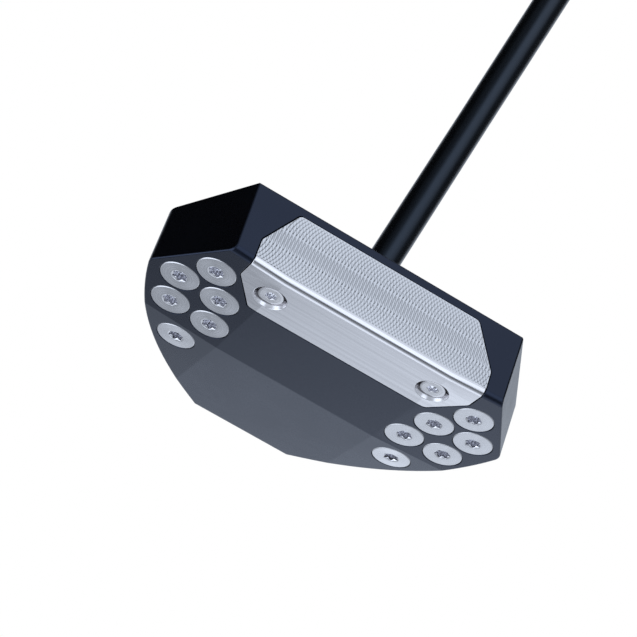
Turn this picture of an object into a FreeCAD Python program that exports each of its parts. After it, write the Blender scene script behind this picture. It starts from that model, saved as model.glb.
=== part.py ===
"""Mallet putter: a milled head with an L-shaped face insert and twelve screwed weights, shaft and grip.

Millimetres. +X points to the heel, +Y away from the target and +Z up. The flat of the sole rests on
z = 0, and the origin lies under the shaft axis. Depths are measured back from the face at the sole.
"""

import FreeCAD, Part
import math
import os

from FreeCAD import Vector

# Head outline, seen from above, with insets measured from the widest point
head_half_width = 56.4
head_depth = 82.0
face_half_width = 41.8
side_corner_depth = 25.2
side_corner_radius = 4.0
haunch_inset = 27.2
haunch_depth = 70.4
haunch_radius = 95.3
tail_inset = 40.7

# Head heights and planes
face_height = 24.4
face_loft = 2.1
crown_tilt = 10.5
sole_facet_start = 25.6
sole_facet_tilt = 3.3
crease_depth = 44.3
rear_sole_tilt = 5.4
leading_radius = 2.0
crown_edge_radius = 0.6

# Crown milling
spine_half_width = 8.6
pocket_front_depth = 9.0
pocket_half_width = 22.0
pocket_bend_depth = 47.0
pocket_rear_half_width = 17.0
pocket_rear_depth = 63.0
pocket_floor_height = 7.0
pocket_corner_radius = 4.0
panel_inner_inset = 26.4
panel_outer_inset = 8.9
panel_front_depth = 9.0
panel_rear_depth = 50.0
panel_rear_inset = 17.9
panel_step = 2.2
panel_corner_radius = 3.0
sight_line_width = 2.4
sight_line_paint = 0.3
sight_line_front_depth = 2.2
sight_line_rear_depth = 78.0
sight_line_boss_gap = 1.6

# Face insert: a face leg and a sole flange in one piece
insert_half_width = 36.0
insert_shoulder_height = 8.1
insert_top_half_width = 28.4
insert_top_height = 21.2
insert_side_depth = 8.2
insert_rear_half_width = 28.2
insert_rear_depth = 19.0
insert_face_thickness = 3.2
insert_flange_thickness = 3.4
insert_corner_radius = 1.8
insert_clearance = 0.25

# Insert screws
screw_offset = 25.6
screw_depth = 10.4
screw_head_diameter = 7.1
screw_head_height = 1.9
screw_head_recess = 0.75
screw_thread_diameter = 4.0
screw_thread_length = 7.0
screw_socket_diameter = 3.3
screw_socket_depth = 1.2
screw_mouth_diameter = 9.6
screw_mouth_depth = 2.2
screw_rim_break = 0.3
screw_head_clearance = 0.2

# Weights, from the front outer one to the rear one, set in from the head's widest point
weight_insets = [15.5, 9.3, 21.9, 12.1, 24.7, 20.8]
weight_depths = [13.7, 24.5, 24.5, 36.6, 36.5, 51.4]
weight_diameter = 11.5
weight_head_thickness = 1.8
weight_thread_diameter = 10.2
weight_thread_length = 6.0
weight_rim_break = 0.3
weight_socket_diameter = 4.4
weight_socket_depth = 2.6
thread_clearance = 0.05
thread_runout = 0.4
socket_core_share = 0.72
socket_lobe_share = 0.26

# Shaft
shaft_axis_depth = 30.5
shaft_axis_crossing_height = 7.9
shaft_lean = 10.6
shaft_tip_diameter = 9.4
shaft_butt_diameter = 15.2
shaft_wall = 0.5
shaft_parallel_length = 100.0
shaft_tip_height = 7.4
bond_gap = 0.1
boss_diameter = 15.4
boss_root_diameter = 23.0
boss_height = 29.0
boss_flare_height = 20.5
boss_root_height = 4.0
boss_edge_break = 0.8
tip_plug_length = 12.0
tip_plug_setback = 3.0

# Grip
putter_length = 864.0
grip_length = 267.0
grip_tape_thickness = 0.25
grip_tape_setback = 6.0
grip_top_width = 25.5
grip_top_depth = 29.0
grip_hold_width = 25.0
grip_hold_depth = 26.0
grip_waist_width = 22.5
grip_waist_depth = 23.0
grip_end_width = 19.6
grip_end_depth = 20.4
grip_hold_share = 0.32
grip_flat_share = 0.62
grip_front_share = 0.45
grip_cap_thickness = 3.0
grip_cap_spigot_length = 10.0
grip_cap_spigot_clearance = 0.1
grip_cap_vent_diameter = 2.4

# Room outside the solids for cutting tools
margin = 40.0
face_y = -shaft_axis_depth


def depth_to_y(depth):
    return face_y + depth


def tangent(degrees):
    return math.tan(math.radians(degrees))


def arc_centre(start, end, radius):
    """The centre of the arc that bulges to the right of the way from start to end."""
    chord = end - start
    rise = math.sqrt(radius ** 2 - (chord.Length / 2) ** 2)
    return (start + end) * 0.5 - Vector(chord.y, -chord.x, 0).normalize() * rise


def arc_about(centre, start, end):
    middle = ((start + end) * 0.5 - centre).normalize() * (start - centre).Length
    return Part.Arc(start, centre + middle, end).toShape()


def rounded_polygon(corners, radii):
    """A flat closed wire through the corners, each rounded by its radius."""
    edges = []
    count = len(corners)
    starts = []
    ends = []
    for index in range(count):
        corner = corners[index]
        to_last = (corners[index - 1] - corner).normalize()
        to_next = (corners[(index + 1) % count] - corner).normalize()
        half_angle = to_last.getAngle(to_next) / 2
        setback = radii[index] / math.tan(half_angle)
        bisector = (to_last + to_next).normalize()
        middle = corner + bisector * (radii[index] / math.sin(half_angle) - radii[index])
        starts.append(corner + to_last * setback)
        ends.append(corner + to_next * setback)
        if radii[index] > 0:
            edges.append(Part.Arc(starts[index], middle, ends[index]).toShape())
    for index in range(count):
        edges.append(Part.makeLine(ends[index], starts[(index + 1) % count]))
    return Part.Wire(Part.__sortEdges__(edges))


def mirrored_corners(half):
    """The corners of a shape that is the same on both sides of the mid-plane."""
    return half + [Vector(-corner.x, corner.y, corner.z) for corner in reversed(half)]


def prism(wire, direction):
    return Part.Face(wire).extrude(direction)


def space_below(point, normal):
    """A block that fills everything on the back of a plane."""
    size = 8 * head_half_width
    block = Part.makeBox(size, size, size, Vector(-size / 2, -size / 2, -size))
    block.Placement = FreeCAD.Placement(point, FreeCAD.Rotation(Vector(0, 0, 1), normal))
    return block


def sole_height(x, depth):
    side_rise = max(0.0, abs(x) - sole_facet_start) * tangent(sole_facet_tilt)
    rear_rise = max(0.0, depth - crease_depth) * tangent(rear_sole_tilt)
    return side_rise + rear_rise


def sole_normal(x, depth):
    side = tangent(sole_facet_tilt) * math.copysign(1, x) if abs(x) > sole_facet_start else 0.0
    rear = tangent(rear_sole_tilt) if depth > crease_depth else 0.0
    return Vector(-side, -rear, 1).normalize()


def crown_height(depth):
    return face_height - depth * tangent(crown_tilt)


def head_outline():
    """Straight front and flanks, then two tangent arcs on each side and a short straight tail."""
    front = Vector(face_half_width, face_y, 0)
    side = Vector(head_half_width, depth_to_y(side_corner_depth), 0)
    haunch = Vector(head_half_width - haunch_inset, depth_to_y(haunch_depth), 0)
    tail = Vector(head_half_width - tail_inset, depth_to_y(head_depth), 0)
    haunch_centre = arc_centre(side, haunch, haunch_radius)
    outward = (haunch - haunch_centre).normalize()
    run = tail - haunch
    tail_centre = haunch + outward * (run.Length ** 2 / (2 * run.dot(outward)))
    edges = [
        Part.makeLine(front, side),
        arc_about(haunch_centre, side, haunch),
        arc_about(tail_centre, haunch, tail),
    ]
    mirror = [edge.mirror(Vector(0, 0, 0), Vector(1, 0, 0)) for edge in edges]
    front_edge = Part.makeLine(Vector(-front.x, front.y, 0), front)
    tail_edge = Part.makeLine(tail, Vector(-tail.x, tail.y, 0))
    return Part.Wire(Part.__sortEdges__(edges + mirror + [front_edge, tail_edge]))


def edges_where(shape, test):
    return [edge for edge in shape.Edges if test(edge)]


def middle_of(edge):
    return edge.valueAt((edge.FirstParameter + edge.LastParameter) / 2)


def head_blank():
    """The outer shape of the head, with the insert's and the body's surfaces in one."""
    blank = prism(head_outline(), Vector(0, 0, face_height))
    blank = blank.makeFillet(side_corner_radius, edges_where(blank, is_side_corner))
    loft_normal = Vector(0, 1, -tangent(face_loft)).normalize()
    blank = blank.cut(space_below(Vector(0, face_y, 0), loft_normal))
    crown_normal = Vector(0, -tangent(crown_tilt), -1).normalize()
    blank = blank.cut(space_below(Vector(0, face_y, face_height), crown_normal))
    blank = blank.makeFillet(crown_edge_radius, edges_where(blank, is_crown_edge))
    sole_regions = [
        (head_half_width, 0.0),
        (-head_half_width, 0.0),
        (0.0, head_depth),
        (head_half_width, head_depth),
        (-head_half_width, head_depth),
    ]
    for x, depth in sole_regions:
        point = Vector(x, depth_to_y(depth), sole_height(x, depth))
        blank = blank.cut(space_below(point, sole_normal(x, depth)))
    for x in (-head_half_width, 0.0, head_half_width):
        blank = blank.cut(leading_edge_cutter(x))
    return blank


def leading_edge_cutter(x):
    """What the rounded leading edge takes off between the face and one plane of the sole."""
    face_normal = Vector(0, 1, -tangent(face_loft)).normalize()
    floor_normal = sole_normal(x, 0.0)
    direction = floor_normal.cross(face_normal).normalize()
    up_face = face_normal.cross(direction).normalize()
    if up_face.z < 0:
        up_face = up_face * -1
    along_sole = floor_normal.cross(direction).normalize()
    if along_sole.y < 0:
        along_sole = along_sole * -1
    half_angle = up_face.getAngle(along_sole) / 2
    inward = (up_face + along_sole).normalize()
    corner = Vector(x, face_y + sole_height(x, 0.0) * tangent(face_loft), sole_height(x, 0.0))
    high = corner + up_face * (leading_radius / math.tan(half_angle))
    back = corner + along_sole * (leading_radius / math.tan(half_angle))
    middle = corner + inward * (leading_radius / math.sin(half_angle) - leading_radius)
    outside = corner - inward * leading_radius
    outer_edges = [Part.makeLine(high, outside), Part.makeLine(outside, back)]
    section = Part.Face(Part.Wire(outer_edges + [Part.Arc(back, middle, high).toShape()]))
    section.translate(direction * (-2 * head_half_width))
    return section.extrude(direction * (4 * head_half_width))


def is_side_corner(edge):
    middle = middle_of(edge)
    at_corner = abs(abs(middle.x) - head_half_width) < 0.1
    return at_corner and abs(middle.z - face_height / 2) < 0.1


def is_crown_edge(edge):
    middle = middle_of(edge)
    return abs(middle.z - crown_height(middle.y - face_y)) < 0.01


def shaft_placement(distance):
    """The frame of the shaft: its Z runs up the axis and its X leans towards the heel."""
    direction = Vector(math.sin(math.radians(shaft_lean)), 0, math.cos(math.radians(shaft_lean)))
    crossing = Vector(0, 0, shaft_axis_crossing_height)
    rotation = FreeCAD.Rotation(Vector(0, 1, 0), shaft_lean)
    return FreeCAD.Placement(crossing + direction * distance, rotation)


def along_axis(height):
    """The distance up the shaft axis, from where it crosses the mid-plane, to a height over the sole."""
    return (height - shaft_axis_crossing_height) / math.cos(math.radians(shaft_lean))


def on_shaft(shape, distance):
    shape.Placement = shaft_placement(distance)
    return shape


def turned(profile):
    """The solid that a profile of (radius, height) pairs sweeps around the Z axis."""
    points = [Vector(radius, 0, height) for radius, height in profile]
    wire = Part.makePolygon(points + points[:1])
    return Part.Face(wire).revolve(Vector(0, 0, 0), Vector(0, 0, 1), 360)


def star_socket(diameter, depth):
    """A six-lobed recess whose mouth is at z = 0 and that goes up from it."""
    core = Part.makeCylinder(diameter * socket_core_share / 2, depth)
    lobe_radius = diameter * socket_lobe_share / 2
    reach = diameter / 2 - lobe_radius
    for index in range(6):
        angle = math.radians(60 * index)
        centre = Vector(reach * math.cos(angle), reach * math.sin(angle), 0)
        core = core.fuse(Part.makeCylinder(lobe_radius, depth, centre))
    return core.removeSplitter()


def crown_cutter(corners, radius, floor_at):
    """A milling cut from above, with its floor at the given height."""
    points = [Vector(x, depth_to_y(depth), floor_at) for x, depth in corners]
    wire = rounded_polygon(points, [radius] * len(points))
    return prism(wire, Vector(0, 0, face_height))


def crown_pocket(side):
    corners = [
        (side * spine_half_width, pocket_front_depth),
        (side * pocket_half_width, pocket_front_depth),
        (side * pocket_half_width, pocket_bend_depth),
        (side * pocket_rear_half_width, pocket_rear_depth),
        (side * spine_half_width, pocket_rear_depth),
    ]
    return crown_cutter(corners, pocket_corner_radius, pocket_floor_height)


def crown_panel(side):
    inner = head_half_width - panel_inner_inset
    outer = head_half_width - panel_outer_inset
    corners = [
        (side * inner, panel_front_depth),
        (side * (inner + outer) / 2, panel_front_depth),
        (side * outer, side_corner_depth),
        (side * (head_half_width - panel_rear_inset), panel_rear_depth),
        (side * inner, panel_rear_depth),
    ]
    cutter = crown_cutter(corners, panel_corner_radius, pocket_floor_height)
    crown_normal = Vector(0, tangent(crown_tilt), 1).normalize()
    floor_point = Vector(0, face_y, face_height - panel_step)
    return cutter.cut(space_below(floor_point, crown_normal))


def boss():
    """The riser that holds the shaft, flared where it meets the crown."""
    root = along_axis(boss_root_height)
    top = along_axis(boss_height)
    root_radius = boss_root_diameter / 2
    radius = boss_diameter / 2
    flare = root_radius - radius
    flare_top = along_axis(boss_flare_height)
    flare_drop = flare * math.sqrt(0.5)
    axis_root = Vector(0, 0, root)
    outer_root = Vector(root_radius, 0, root)
    flare_start = Vector(root_radius, 0, flare_top - flare)
    flare_middle = Vector(root_radius - flare_drop, 0, flare_top - flare_drop)
    throat = Vector(radius, 0, flare_top)
    rim_low = Vector(radius, 0, top - boss_edge_break)
    rim_high = Vector(radius - boss_edge_break, 0, top)
    axis_top = Vector(0, 0, top)
    edges = [Part.makeLine(axis_root, outer_root), Part.makeLine(outer_root, flare_start)]
    edges.append(Part.Arc(flare_start, flare_middle, throat).toShape())
    edges += [Part.makeLine(throat, rim_low), Part.makeLine(rim_low, rim_high)]
    edges += [Part.makeLine(rim_high, axis_top), Part.makeLine(axis_top, axis_root)]
    solid = Part.Face(Part.Wire(edges)).revolve(Vector(0, 0, 0), Vector(0, 0, 1), 360)
    return on_shaft(solid, 0)


def shaft_bore():
    depth = along_axis(boss_height) - along_axis(shaft_tip_height) + bond_gap
    bore = Part.makeCylinder(shaft_tip_diameter / 2 + bond_gap, depth + margin)
    return on_shaft(bore, along_axis(shaft_tip_height) - bond_gap)


def sight_line_cutter():
    """The band of crown surface, a paint's depth thick, that the sight line's groove takes."""
    half = sight_line_width / 2
    front = depth_to_y(sight_line_front_depth)
    length = sight_line_rear_depth - sight_line_front_depth
    band = Part.makeBox(2 * half, length, face_height + margin, Vector(-half, front, 0))
    crown_normal = Vector(0, tangent(crown_tilt), 1).normalize()
    band = band.cut(space_below(Vector(0, face_y, face_height - sight_line_paint), crown_normal))
    keep_out = Part.makeCylinder(boss_root_diameter / 2 + sight_line_boss_gap, 4 * face_height)
    keep_out.translate(Vector(0, 0, -face_height))
    return band.cut(on_shaft(keep_out, 0))


def insert_shape(grow):
    """The L of the insert, grown sideways by the clearance where it is used to cut the head."""
    wide = insert_half_width + grow
    face_corners = mirrored_corners([
        Vector(wide, face_y - margin, -margin),
        Vector(wide, face_y - margin, insert_shoulder_height + grow),
        Vector(insert_top_half_width + grow, face_y - margin, insert_top_height + grow),
    ])
    face_radii = [0] + [insert_corner_radius] * 4 + [0]
    depth = margin + insert_rear_depth
    leg = prism(rounded_polygon(face_corners, face_radii), Vector(0, depth, 0))
    back_normal = Vector(0, -1, tangent(face_loft)).normalize()
    thickness = insert_face_thickness / math.cos(math.radians(face_loft))
    leg = leg.cut(space_below(Vector(0, face_y + thickness, 0), back_normal))
    sole_corners = mirrored_corners([
        Vector(wide, face_y - margin, -margin),
        Vector(wide, depth_to_y(insert_side_depth), -margin),
        Vector(insert_rear_half_width + grow, depth_to_y(insert_rear_depth) + grow, -margin),
    ])
    up = Vector(0, 0, margin + insert_flange_thickness)
    flange = prism(rounded_polygon(sole_corners, face_radii), up)
    return leg.fuse(flange).removeSplitter()


def screw_point(side):
    x = side * screw_offset
    return Vector(x, depth_to_y(screw_depth), sole_height(x, screw_depth))


def screw_frame(side):
    return FreeCAD.Placement(screw_point(side), FreeCAD.Rotation())


def screw_hole(side):
    """Mouth, counterbore and clearance hole through the insert's flange, from the sole upwards."""
    bore = screw_head_diameter / 2 + screw_head_clearance
    mouth = screw_mouth_diameter / 2
    shank = screw_thread_diameter / 2 + screw_head_clearance
    seat = screw_head_recess + screw_head_height
    end = insert_flange_thickness + 1
    profile = [(0, -1), (mouth, -1), (mouth, 0)]
    profile += [(bore, screw_mouth_depth), (bore, seat), (shank, seat)]
    hole = turned(profile + [(shank, end), (0, end)])
    hole.Placement = screw_frame(side)
    return hole


def screw_thread_hole(side):
    seat = screw_head_recess + screw_head_height
    radius = screw_thread_diameter / 2 + thread_clearance
    hole = Part.makeCylinder(radius, seat + screw_thread_length + thread_runout)
    hole.Placement = screw_frame(side)
    return hole


def weight_frame(index, side):
    x = side * (head_half_width - weight_insets[index])
    depth = weight_depths[index]
    point = Vector(x, depth_to_y(depth), sole_height(x, depth))
    return FreeCAD.Placement(point, FreeCAD.Rotation(Vector(0, 0, 1), sole_normal(x, depth)))


def weight_hole(index, side):
    wide = weight_diameter / 2 + thread_clearance
    narrow = weight_thread_diameter / 2 + thread_clearance
    end = weight_head_thickness + weight_thread_length + thread_runout
    profile = [(0, -2), (wide, -2), (wide, weight_head_thickness), (narrow, weight_head_thickness)]
    hole = turned(profile + [(narrow, end), (0, end)])
    hole.Placement = weight_frame(index, side)
    return hole


def weight(index, side):
    """One screwed weight: a head flush with the sole, a threaded body and a star socket."""
    wide = weight_diameter / 2
    narrow = weight_thread_diameter / 2
    end = weight_head_thickness + weight_thread_length
    profile = [(0, 0), (wide - weight_rim_break, 0), (wide, weight_rim_break)]
    profile += [(wide, weight_head_thickness), (narrow, weight_head_thickness), (narrow, end), (0, end)]
    body = turned(profile).cut(star_socket(weight_socket_diameter, weight_socket_depth))
    body.Placement = weight_frame(index, side)
    return body


def face_insert(blank):
    insert = insert_shape(0).common(blank)
    for side in (-1, 1):
        insert = insert.cut(screw_hole(side))
    return insert


def insert_screw(side):
    head = screw_head_diameter / 2
    shank = screw_thread_diameter / 2
    low = screw_head_recess
    seat = low + screw_head_height
    profile = [(0, low), (head - screw_rim_break, low), (head, low + screw_rim_break), (head, seat)]
    profile.append((shank, seat))
    screw = turned(profile + [(shank, seat + screw_thread_length), (0, seat + screw_thread_length)])
    socket = star_socket(screw_socket_diameter, screw_socket_depth)
    socket.translate(Vector(0, 0, low))
    screw = screw.cut(socket)
    screw.Placement = screw_frame(side)
    return screw


def head_body(blank):
    body = blank
    for side in (-1, 1):
        body = body.cut(crown_pocket(side))
        body = body.cut(crown_panel(side))
    body = body.fuse(boss().common(tall_room()))
    body = body.cut(sight_line_cutter())
    body = body.cut(shaft_bore())
    body = body.cut(insert_shape(insert_clearance))
    for side in (-1, 1):
        body = body.cut(screw_thread_hole(side))
        for index in range(len(weight_insets)):
            body = body.cut(weight_hole(index, side))
    return body.removeSplitter()


def tall_room():
    """The space over the pocket floors, which keeps the riser's root inside the head."""
    size = 4 * head_half_width
    return Part.makeBox(size, size, size, Vector(-size / 2, -size / 2, pocket_floor_height))


def shaft_length():
    return putter_length - along_axis(shaft_tip_height) - grip_cap_thickness


def shaft_radius(distance):
    """The outer radius at a distance up from the tip: parallel first, then an even taper."""
    taper = (shaft_butt_diameter - shaft_tip_diameter) / 2 / (shaft_length() - shaft_parallel_length)
    return shaft_tip_diameter / 2 + max(0.0, distance - shaft_parallel_length) * taper


def shaft():
    length = shaft_length()
    tip = shaft_radius(0)
    butt = shaft_radius(length)
    outer = [(tip, 0), (tip, shaft_parallel_length), (butt, length)]
    inner = [(radius - shaft_wall, distance) for radius, distance in reversed(outer)]
    return on_shaft(turned(outer + inner), along_axis(shaft_tip_height))


def shaft_bond():
    """The adhesive between the shaft's tip and the bore, with a skin under the tip."""
    inner = shaft_tip_diameter / 2
    outer = inner + bond_gap
    top = along_axis(boss_height) - along_axis(shaft_tip_height)
    profile = [(0, -bond_gap), (outer, -bond_gap), (outer, top), (inner, top), (inner, 0), (0, 0)]
    return on_shaft(turned(profile), along_axis(shaft_tip_height))


def tip_plug():
    plug = Part.makeCylinder(shaft_tip_diameter / 2 - shaft_wall, tip_plug_length)
    return on_shaft(plug, along_axis(shaft_tip_height) + tip_plug_setback)


def sleeve_profile(start, end, grow):
    """The radius pairs along the shaft's taper between two distances from the tip."""
    return [(shaft_radius(start) + grow, start), (shaft_radius(end) + grow, end)]


def grip_tape():
    length = shaft_length()
    start = length - grip_length + grip_tape_setback
    outer = sleeve_profile(start, length, grip_tape_thickness)
    inner = list(reversed(sleeve_profile(start, length, 0)))
    return on_shaft(turned(outer + inner), along_axis(shaft_tip_height))


def grip_section(distance, width, depth):
    """A D: a flat for the thumbs on the toe side and a round back on the heel side."""
    half = width / 2
    half_flat = half * grip_flat_share
    front = -depth * grip_front_share
    back = depth + front
    flat_start = Vector(front, -half_flat, distance)
    flat_end = Vector(front, half_flat, distance)
    left = Vector(0, half, distance)
    right = Vector(0, -half, distance)
    shoulder = (half_flat + 1.3 * half) / 2.2
    edges = [
        Part.makeLine(flat_start, flat_end),
        Part.Arc(flat_end, Vector(front * 0.72, shoulder, distance), left).toShape(),
        Part.Arc(left, Vector(back, 0, distance), right).toShape(),
        Part.Arc(right, Vector(front * 0.72, -shoulder, distance), flat_start).toShape(),
    ]
    return Part.Wire(edges)


def grip():
    length = shaft_length()
    start = length - grip_length
    lower_hold = start + grip_length * grip_hold_share
    upper_hold = length - grip_length * grip_hold_share
    sections = [
        grip_section(start, grip_end_width, grip_end_depth),
        grip_section(lower_hold, grip_waist_width, grip_waist_depth),
        grip_section(upper_hold, grip_hold_width, grip_hold_depth),
        grip_section(length, grip_top_width, grip_top_depth),
    ]
    outer = Part.makeLoft(sections, True, False)
    room = sleeve_profile(start + grip_tape_setback, length, grip_tape_thickness)
    snug = sleeve_profile(start, start + grip_tape_setback, 0)
    bore = turned([(0, start)] + snug + room + [(0, length)])
    return on_shaft(outer.cut(bore), along_axis(shaft_tip_height))


def grip_cap():
    length = shaft_length()
    top_section = grip_section(length, grip_top_width, grip_top_depth)
    plate = prism(top_section, Vector(0, 0, grip_cap_thickness))
    spigot_radius = shaft_radius(length) - shaft_wall - grip_cap_spigot_clearance
    spigot_start = Vector(0, 0, length - grip_cap_spigot_length)
    spigot = Part.makeCylinder(spigot_radius, grip_cap_spigot_length, spigot_start)
    vent = Part.makeCylinder(grip_cap_vent_diameter / 2, 4 * grip_cap_spigot_length)
    vent.translate(Vector(0, 0, length - 2 * grip_cap_spigot_length))
    return on_shaft(plate.fuse(spigot).cut(vent), along_axis(shaft_tip_height))


def sight_line(blank):
    """The two lengths of paint fill, in front of the riser and behind it."""
    fill = sight_line_cutter().common(blank)
    return sorted(fill.Solids, key=lambda solid: solid.CenterOfMass.y)


def save(name, shape):
    shape.exportStep("parts/" + name + ".step")


def main():
    os.makedirs("parts", exist_ok=True)
    blank = head_blank()
    save("head_body", head_body(blank))
    save("face_insert", face_insert(blank))
    front_line, rear_line = sight_line(blank)
    save("sight_line_front", front_line)
    save("sight_line_rear", rear_line)
    for name, side in (("toe", -1), ("heel", 1)):
        save("insert_screw_" + name, insert_screw(side))
        for index in range(len(weight_insets)):
            save("weight_{}_{}".format(name, index + 1), weight(index, side))
    save("shaft", shaft())
    save("shaft_bond", shaft_bond())
    save("tip_plug", tip_plug())
    save("grip_tape", grip_tape())
    save("grip", grip())
    save("grip_cap", grip_cap())


main()
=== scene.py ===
import math

import bmesh
import bpy
import numpy as np
from mathutils import Euler, Matrix, Vector


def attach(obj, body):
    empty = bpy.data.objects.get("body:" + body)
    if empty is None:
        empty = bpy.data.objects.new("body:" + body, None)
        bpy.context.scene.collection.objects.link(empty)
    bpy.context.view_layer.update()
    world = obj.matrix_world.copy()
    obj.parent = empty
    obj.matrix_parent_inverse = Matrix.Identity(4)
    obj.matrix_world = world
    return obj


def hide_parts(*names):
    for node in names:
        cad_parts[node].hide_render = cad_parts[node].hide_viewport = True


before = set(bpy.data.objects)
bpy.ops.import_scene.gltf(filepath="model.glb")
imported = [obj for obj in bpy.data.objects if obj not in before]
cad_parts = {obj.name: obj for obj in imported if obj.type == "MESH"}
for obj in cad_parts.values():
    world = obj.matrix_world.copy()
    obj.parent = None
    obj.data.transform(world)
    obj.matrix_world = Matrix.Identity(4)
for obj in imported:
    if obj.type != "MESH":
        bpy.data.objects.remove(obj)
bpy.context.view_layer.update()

MM = 0.001

# Sizes that the CAD model also has, in millimetres
FACE_Y = -30.5
FACE_LOFT = math.radians(2.1)
SOLE_FACET_START = 25.6
SOLE_FACET_TILT = math.radians(3.3)
LEADING_RADIUS = 2.0
INSERT_HALF_WIDTH = 36.0
INSERT_SHOULDER = 8.1
INSERT_TOP_HALF_WIDTH = 28.4
INSERT_TOP = 21.2
INSERT_CORNER_RADIUS = 1.8
SHAFT_LEAN = math.radians(10.6)
SHAFT_CROSSING = 7.9
SHAFT_TIP_HEIGHT = 7.4
SHAFT_TIP_RADIUS = 4.7
SHAFT_BUTT_RADIUS = 7.6
SHAFT_WALL = 0.5
SHAFT_PARALLEL = 100.0
PUTTER_LENGTH = 864.0
GRIP_LENGTH = 267.0
GRIP_CAP = 3.0
GRIP_STOPS = (0.0, 0.32, 0.68, 1.0)    # shares of the grip's length, from its lower end
GRIP_WIDTHS = (19.6, 22.5, 25.0, 25.5)
GRIP_DEPTHS = (20.4, 23.0, 26.0, 29.0)

# Colours: linear red, green and blue
ANODISED_DEEP = (0.0003, 0.0004, 0.0010)
ANODISED_THIN = (0.0009, 0.0011, 0.0021)
ANODISED_WORN = (0.085, 0.095, 0.115)
ANODISED_GLOSS = (0.48, 0.61, 1.0)
STEEL = (0.580, 0.570, 0.585)
STEEL_STREAK = (0.650, 0.640, 0.655)
STEEL_WORN = (0.80, 0.80, 0.82)
STEEL_MILLED = (0.535, 0.537, 0.556)
STEEL_WEIGHT = (0.575, 0.570, 0.585)
STEEL_SCREW = (0.62, 0.61, 0.62)
# painted light: the paler colour inside the star sockets, against the shade in the recess
SOCKET_PAINTED_LIGHT = (0.70, 0.70, 0.73)
COAT_BLACK = (0.0006, 0.0009, 0.0014)
COAT_DUST = (0.006, 0.007, 0.010)
COAT_GLOSS = (0.51, 0.67, 0.93)
RUBBER_DARK = (0.0100, 0.0104, 0.0116)
RUBBER_PALE = (0.0180, 0.0186, 0.0200)
RUBBER_RUBBED = (0.045, 0.046, 0.050)
FLOOR_LOW = (0.92, 0.92, 0.93)
FLOOR_HIGH = (0.95, 0.95, 0.96)
WHITE = (1, 1, 1)
COOL_WHITE = (0.80, 0.88, 1.0)


# ---------------------------------------------------------------- node helpers
class Nodes:
    """A short way to write a node tree. A value is a socket to link, or a constant to set."""

    def __init__(self, tree):
        self.tree = tree
        tree.nodes.clear()

    def add(self, kind):
        return self.tree.nodes.new(kind)

    def put(self, socket, value):
        if isinstance(value, bpy.types.NodeSocket):
            self.tree.links.new(value, socket)
        elif socket.type == "RGBA":
            socket.default_value = (*value, 1.0)
        else:
            socket.default_value = value

    def fill(self, node, values):
        """Put a value in each named socket."""
        for name, value in values.items():
            self.put(node.inputs[name], value)

    def math(self, operation, a, b=0.0):
        node = self.add("ShaderNodeMath")
        node.operation = operation
        self.put(node.inputs[0], a)
        self.put(node.inputs[1], b)
        return node.outputs[0]

    def number(self, operation, a, b=(0, 0, 0)):
        """A vector operation that gives one number."""
        node = self.add("ShaderNodeVectorMath")
        node.operation = operation
        self.put(node.inputs[0], a)
        self.put(node.inputs[1], b)
        return node.outputs["Value"]

    def axes(self, vector):
        node = self.add("ShaderNodeSeparateXYZ")
        self.put(node.inputs[0], vector)
        return node.outputs[0], node.outputs[1], node.outputs[2]

    def joined(self, *parts):
        """A vector from its first one, two or three parts."""
        node = self.add("ShaderNodeCombineXYZ")
        for socket, part in zip(node.inputs, parts):
            self.put(socket, part)
        return node.outputs[0]

    def scaled(self, vector, scale):
        node = self.add("ShaderNodeMapping")
        self.fill(node, {"Vector": vector, "Scale": scale})
        return node.outputs["Vector"]

    def noise(self, vector, scale=1.0, detail=3.0, roughness=0.55):
        node = self.add("ShaderNodeTexNoise")
        self.fill(node, {"Vector": vector, "Scale": scale, "Detail": detail, "Roughness": roughness})
        return node.outputs["Fac"]

    def span(self, value, low, high, to_low=0.0, to_high=1.0, smooth=False):
        """The range from low to high mapped to another range, and held beyond its ends."""
        node = self.add("ShaderNodeMapRange")
        node.interpolation_type = "SMOOTHSTEP" if smooth else "LINEAR"
        self.fill(node, {"Value": value, "From Min": low, "From Max": high,
                         "To Min": to_low, "To Max": to_high})
        return node.outputs["Result"]

    def mix(self, factor, a, b):
        node = self.add("ShaderNodeMix")
        node.data_type = "RGBA"
        for index, value in ((0, factor), (6, a), (7, b)):    # the factor and the two colours
            self.put(node.inputs[index], value)
        return node.outputs[2]

    def bump(self, height, strength, distance):
        node = self.add("ShaderNodeBump")
        self.fill(node, {"Height": height, "Strength": strength, "Distance": distance})
        return node.outputs["Normal"]


def shade(tint, factor):
    return tuple(factor * part for part in tint)


def material(name):
    """A new material, its nodes, its shader and the place on the object."""
    made = bpy.data.materials.new(name)
    made.use_nodes = True
    nodes = Nodes(made.node_tree)
    shader = nodes.add("ShaderNodeBsdfPrincipled")
    output = nodes.add("ShaderNodeOutputMaterial")
    nodes.put(output.inputs["Surface"], shader.outputs["BSDF"])
    place = nodes.add("ShaderNodeTexCoord").outputs["Object"]
    return made, nodes, shader, place


def edge_mask(nodes, radius, start, full):
    """0 on the flats and 1 on the edges, from how far a rounded normal turns from the flat one."""
    bevel = nodes.add("ShaderNodeBevel")
    bevel.samples = 6
    nodes.put(bevel.inputs["Radius"], radius)
    flat = nodes.add("ShaderNodeNewGeometry").outputs["Normal"]
    alike = nodes.number("DOT_PRODUCT", bevel.outputs["Normal"], flat)
    return nodes.span(alike, 1.0 - start, 1.0 - full)


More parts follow.
